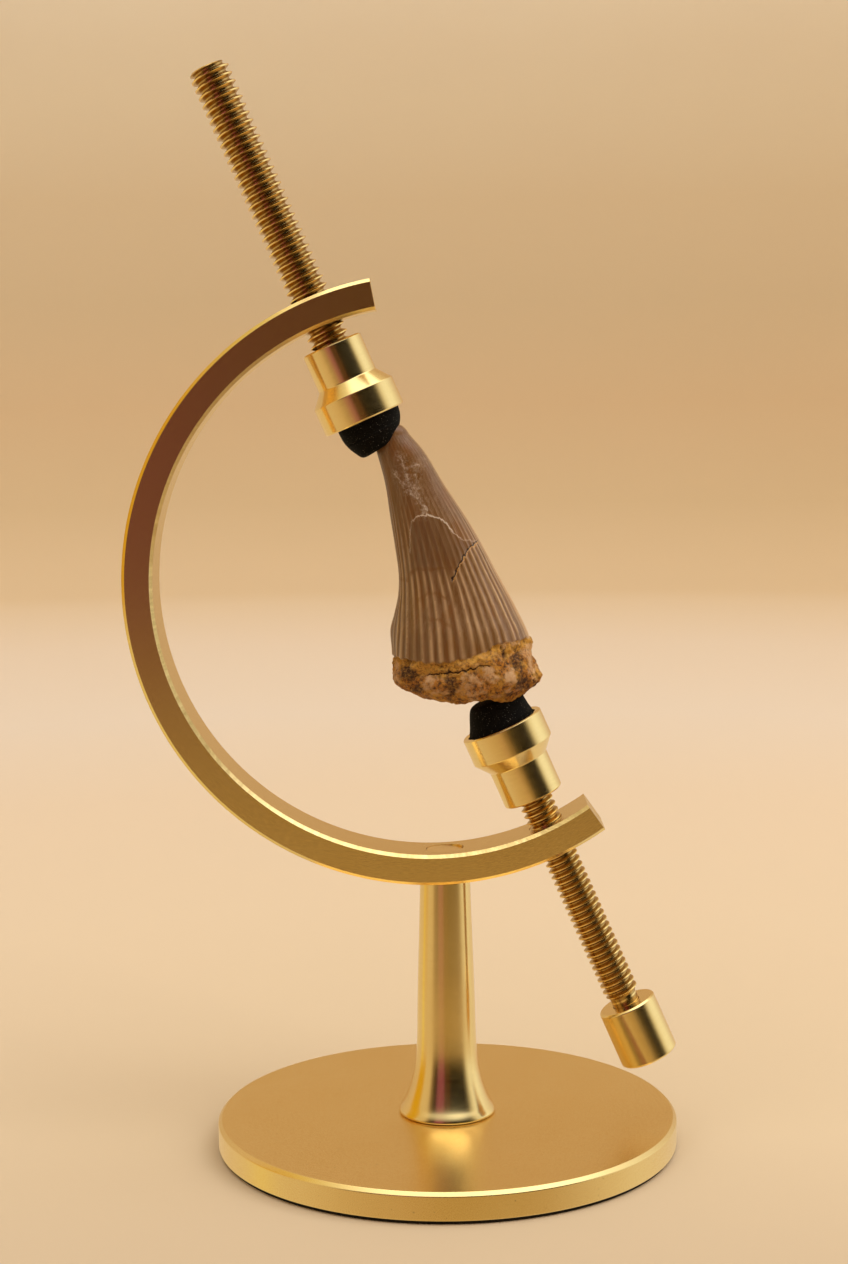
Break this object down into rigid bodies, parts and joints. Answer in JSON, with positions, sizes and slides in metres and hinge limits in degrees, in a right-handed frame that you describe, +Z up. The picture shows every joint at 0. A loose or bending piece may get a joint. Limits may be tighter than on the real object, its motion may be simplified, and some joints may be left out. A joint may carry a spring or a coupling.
{
  "type": "fossil tooth on clamp display stand",
  "caption": "Fluted conical fossil tooth gripped between rubber-tipped screw clamps in an open brass arc on a turned post and round base.",
  "frame": {"origin": "centre of the foot pad's underside, on the surface that the stand rests on", "axes": "+Z up along the post, +X towards the open side of the arc, the arc lies in the XZ plane"},
  "size_m": [0.0849, 0.0722, 0.1677],
  "materials": {
    "satin_brass": "satin",
    "brushed_brass": "brushed",
    "turned_brass": "polished",
    "thread_brass": "satin",
    "black_rubber": "matte",
    "pad_rubber": "matte",
    "fossil_tooth": "satin"
  },
  "bodies": {
    "stand": {"foot_pad": "pad_rubber", "base_disc": "satin_brass", "post": "satin_brass", "arc": "brushed_brass"},
    "upper_head": {"upper_cup": "turned_brass", "upper_tip": "black_rubber"},
    "upper_screw": {"upper_rod": "thread_brass"},
    "lower_head": {"lower_cup": "turned_brass", "lower_tip": "black_rubber", "tooth": "fossil_tooth"},
    "lower_screw": {"lower_rod": "thread_brass", "knob": "turned_brass"}
  },
  "joints": [
    {"name": "upper_feed", "type": "slide", "parent": "stand", "child": "upper_head", "axis": [-0.3987, 0, 0.9171], "range_m": [0, 0.002]},
    {"name": "upper_turn", "type": "hinge", "parent": "upper_head", "child": "upper_screw", "pos_m": [-0.001, 0, 0.08948], "axis": [-0.3987, 0, 0.9171], "range_deg": [0, 568]},
    {"name": "lower_feed", "type": "slide", "parent": "stand", "child": "lower_head", "axis": [0.3987, 0, -0.9171], "range_m": [0, 0.0038]},
    {"name": "lower_turn", "type": "hinge", "parent": "lower_head", "child": "lower_screw", "pos_m": [-0.001, 0, 0.08948], "axis": [0.3987, 0, -0.9171], "range_deg": [0, 1294]}
  ],
  "couplings": [
    {"joint": "upper_turn", "follows": "upper_feed", "rad_per_m": 4947.4},
    {"joint": "lower_turn", "follows": "lower_feed", "rad_per_m": 5938.7}
  ]
}
